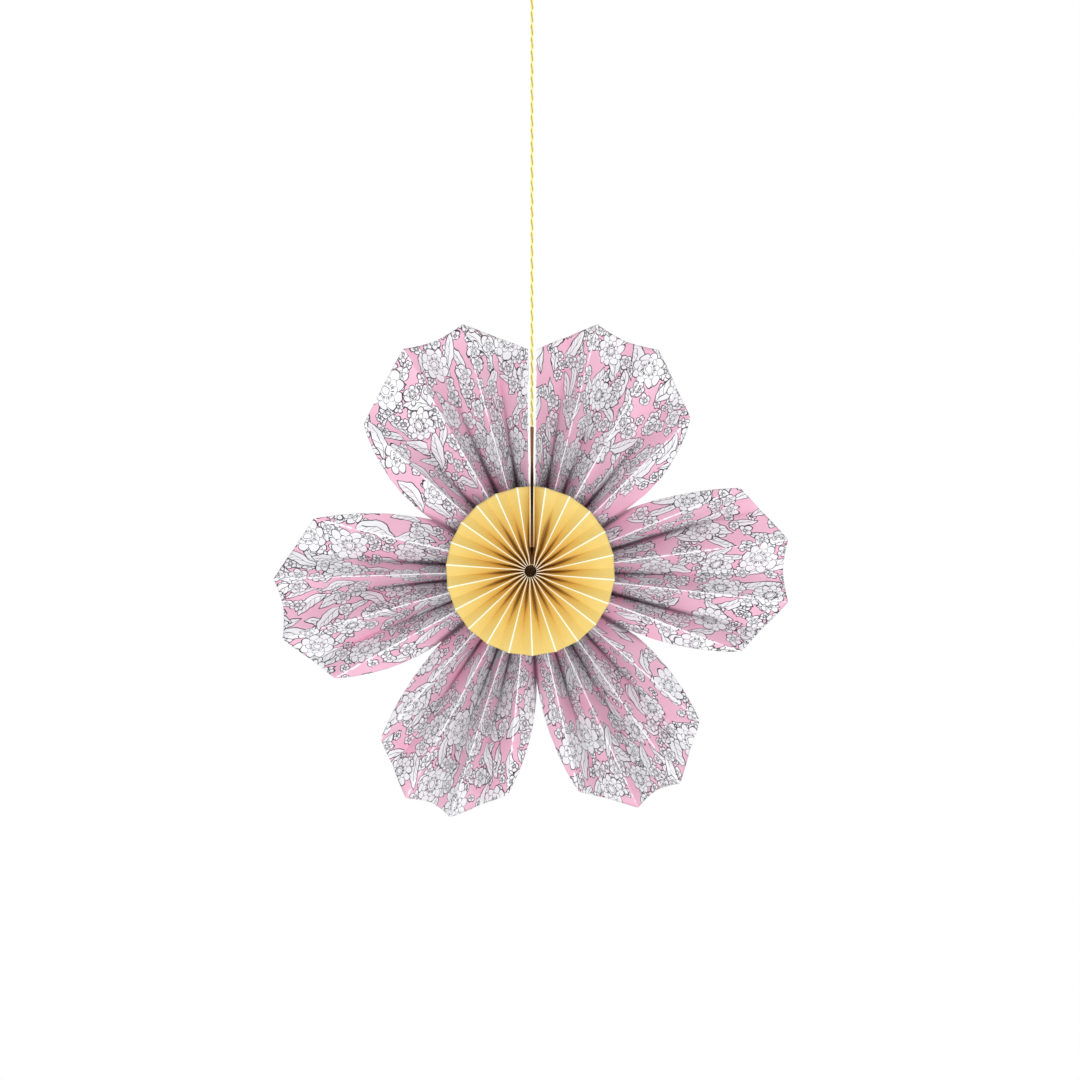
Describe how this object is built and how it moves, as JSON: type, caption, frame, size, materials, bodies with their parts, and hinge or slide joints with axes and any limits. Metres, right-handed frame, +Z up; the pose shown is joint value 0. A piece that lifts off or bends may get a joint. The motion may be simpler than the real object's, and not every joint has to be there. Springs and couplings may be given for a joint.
{
  "type": "paper flower",
  "caption": "Hanging paper flower: a pleated paper fan cut into petals, with a smaller pleated fan at its centre, two end cards and a twine with a tied loop.",
  "frame": {"origin": "inside the crown of the hanging loop, where a hook or nail carries the flower", "axes": "+Z up along the taut twine, the flower faces -Y, and +X is to the right seen from the front"},
  "size_m": [0.2574, 0.0278, 0.4401],
  "materials": {
    "printed_paper": "satin",
    "plain_paper": "satin",
    "white_board": "matt",
    "brown_tape": "matt",
    "brown_card": "matt",
    "twine": "matt"
  },
  "bodies": {
    "root": {"petal_fan": "printed_paper", "centre_fan": "plain_paper", "left_end_card": "white_board", "right_end_card": "white_board", "closing_pad": "brown_tape", "back_disc": "brown_card", "hanging_twine": "twine", "loop_knot": "twine", "hanging_loop": "twine"}
  },
  "joints": []
}
